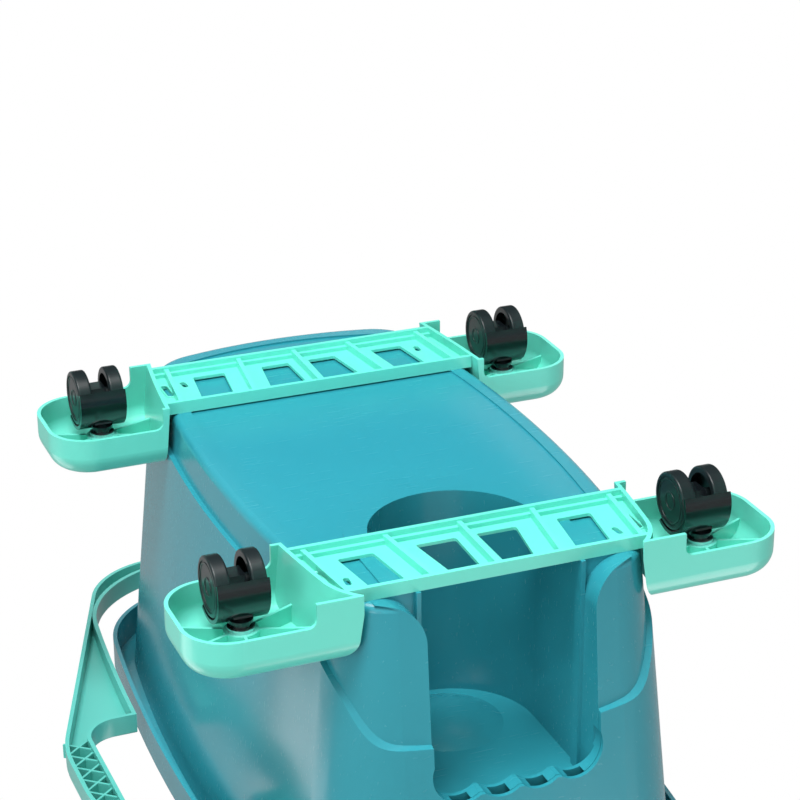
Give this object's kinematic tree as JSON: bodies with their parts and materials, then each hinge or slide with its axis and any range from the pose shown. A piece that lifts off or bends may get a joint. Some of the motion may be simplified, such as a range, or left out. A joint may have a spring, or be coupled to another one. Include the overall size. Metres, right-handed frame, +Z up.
{
  "type": "spin mop bucket",
  "caption": "Wheeled spin mop bucket with a long oval tank, front grip niche, folded carrying handle, ribbed castor carriers and a spinning perforated basket.",
  "frame": {"origin": "centre of the part's footprint, on the floor that the castors stand on", "axes": "+Z up, +Y towards the deep end of the tank, -Y towards the end with the grip niche, +X towards the side where the handle is folded down"},
  "size_m": [0.383, 0.5498, 0.2425],
  "materials": {
    "tank_plastic": "gloss",
    "carrier_plastic": "gloss",
    "handle_plastic": "satin",
    "castor_plastic": "gloss",
    "castor_wheel_plastic": "satin",
    "plated_steel": "satin",
    "bush_plastic": "matte",
    "wringer_plastic": "gloss"
  },
  "bodies": {
    "bucket": {"bucket_tank": "tank_plastic", "carrier_front": "carrier_plastic", "carrier_rear": "carrier_plastic", "castor_front_left_sleeve": "plated_steel", "castor_front_right_sleeve": "plated_steel", "castor_rear_left_sleeve": "plated_steel", "castor_rear_right_sleeve": "plated_steel", "handle_pin_front": "handle_plastic", "handle_pin_rear": "handle_plastic", "wringer_post": "plated_steel", "wringer_cover": "carrier_plastic"},
    "handle": {"handle": "handle_plastic"},
    "bearing": {"wringer_bush": "bush_plastic"},
    "basket": {"wringer_basket": "wringer_plastic", "wringer_hub": "wringer_plastic", "wringer_ring": "carrier_plastic"},
    "castor_front_left": {"castor_front_left_hood": "castor_plastic", "castor_front_left_stem": "castor_plastic", "castor_front_left_axle": "plated_steel"},
    "castor_front_left_wheel_a": {"castor_front_left_wheel_a": "castor_wheel_plastic"},
    "castor_front_left_wheel_b": {"castor_front_left_wheel_b": "castor_wheel_plastic"},
    "castor_front_right": {"castor_front_right_hood": "castor_plastic", "castor_front_right_stem": "castor_plastic", "castor_front_right_axle": "plated_steel"},
    "castor_front_right_wheel_a": {"castor_front_right_wheel_a": "castor_wheel_plastic"},
    "castor_front_right_wheel_b": {"castor_front_right_wheel_b": "castor_wheel_plastic"},
    "castor_rear_left": {"castor_rear_left_hood": "castor_plastic", "castor_rear_left_stem": "castor_plastic", "castor_rear_left_axle": "plated_steel"},
    "castor_rear_left_wheel_a": {"castor_rear_left_wheel_a": "castor_wheel_plastic"},
    "castor_rear_left_wheel_b": {"castor_rear_left_wheel_b": "castor_wheel_plastic"},
    "castor_rear_right": {"castor_rear_right_hood": "castor_plastic", "castor_rear_right_stem": "castor_plastic", "castor_rear_right_axle": "plated_steel"},
    "castor_rear_right_wheel_a": {"castor_rear_right_wheel_a": "castor_wheel_plastic"},
    "castor_rear_right_wheel_b": {"castor_rear_right_wheel_b": "castor_wheel_plastic"}
  },
  "joints": [
    {"name": "handle_swing", "type": "hinge", "parent": "bucket", "child": "handle", "pos_m": [-0.0115, 0, 0.214], "axis": [0, -1, 0], "range_deg": [0, 180]},
    {"name": "wringer_lift_off", "type": "slide", "parent": "bucket", "child": "bearing", "axis": [0, 0, 1], "range_m": [0, 0.085]},
    {"name": "basket_spin", "type": "hinge", "parent": "bearing", "child": "basket", "pos_m": [-0.0115, -0.108, 0.18], "axis": [0, 0, 1], "continuous": true},
    {"name": "castor_front_left_swivel", "type": "hinge", "parent": "bucket", "child": "castor_front_left", "pos_m": [-0.153, -0.153, 0.04], "axis": [0, 0, 1], "continuous": true},
    {"name": "castor_front_left_wheel_a_roll", "type": "hinge", "parent": "castor_front_left", "child": "castor_front_left_wheel_a", "pos_m": [-0.153, -0.1415, 0.0175], "axis": [1, 0, 0], "continuous": true},
    {"name": "castor_front_left_wheel_b_roll", "type": "hinge", "parent": "castor_front_left", "child": "castor_front_left_wheel_b", "pos_m": [-0.153, -0.1415, 0.0175], "axis": [1, 0, 0], "continuous": true},
    {"name": "castor_front_right_swivel", "type": "hinge", "parent": "bucket", "child": "castor_front_right", "pos_m": [0.13, -0.153, 0.04], "axis": [0, 0, 1], "continuous": true},
    {"name": "castor_front_right_wheel_a_roll", "type": "hinge", "parent": "castor_front_right", "child": "castor_front_right_wheel_a", "pos_m": [0.13, -0.1415, 0.0175], "axis": [1, 0, 0], "continuous": true},
    {"name": "castor_front_right_wheel_b_roll", "type": "hinge", "parent": "castor_front_right", "child": "castor_front_right_wheel_b", "pos_m": [0.13, -0.1415, 0.0175], "axis": [1, 0, 0], "continuous": true},
    {"name": "castor_rear_left_swivel", "type": "hinge", "parent": "bucket", "child": "castor_rear_left", "pos_m": [-0.153, 0.131, 0.04], "axis": [0, 0, 1], "continuous": true},
    {"name": "castor_rear_left_wheel_a_roll", "type": "hinge", "parent": "castor_rear_left", "child": "castor_rear_left_wheel_a", "pos_m": [-0.153, 0.1425, 0.0175], "axis": [1, 0, 0], "continuous": true},
    {"name": "castor_rear_left_wheel_b_roll", "type": "hinge", "parent": "castor_rear_left", "child": "castor_rear_left_wheel_b", "pos_m": [-0.153, 0.1425, 0.0175], "axis": [1, 0, 0], "continuous": true},
    {"name": "castor_rear_right_swivel", "type": "hinge", "parent": "bucket", "child": "castor_rear_right", "pos_m": [0.13, 0.131, 0.04], "axis": [0, 0, 1], "continuous": true},
    {"name": "castor_rear_right_wheel_a_roll", "type": "hinge", "parent": "castor_rear_right", "child": "castor_rear_right_wheel_a", "pos_m": [0.13, 0.1425, 0.0175], "axis": [1, 0, 0], "continuous": true},
    {"name": "castor_rear_right_wheel_b_roll", "type": "hinge", "parent": "castor_rear_right", "child": "castor_rear_right_wheel_b", "pos_m": [0.13, 0.1425, 0.0175], "axis": [1, 0, 0], "continuous": true}
  ]
}
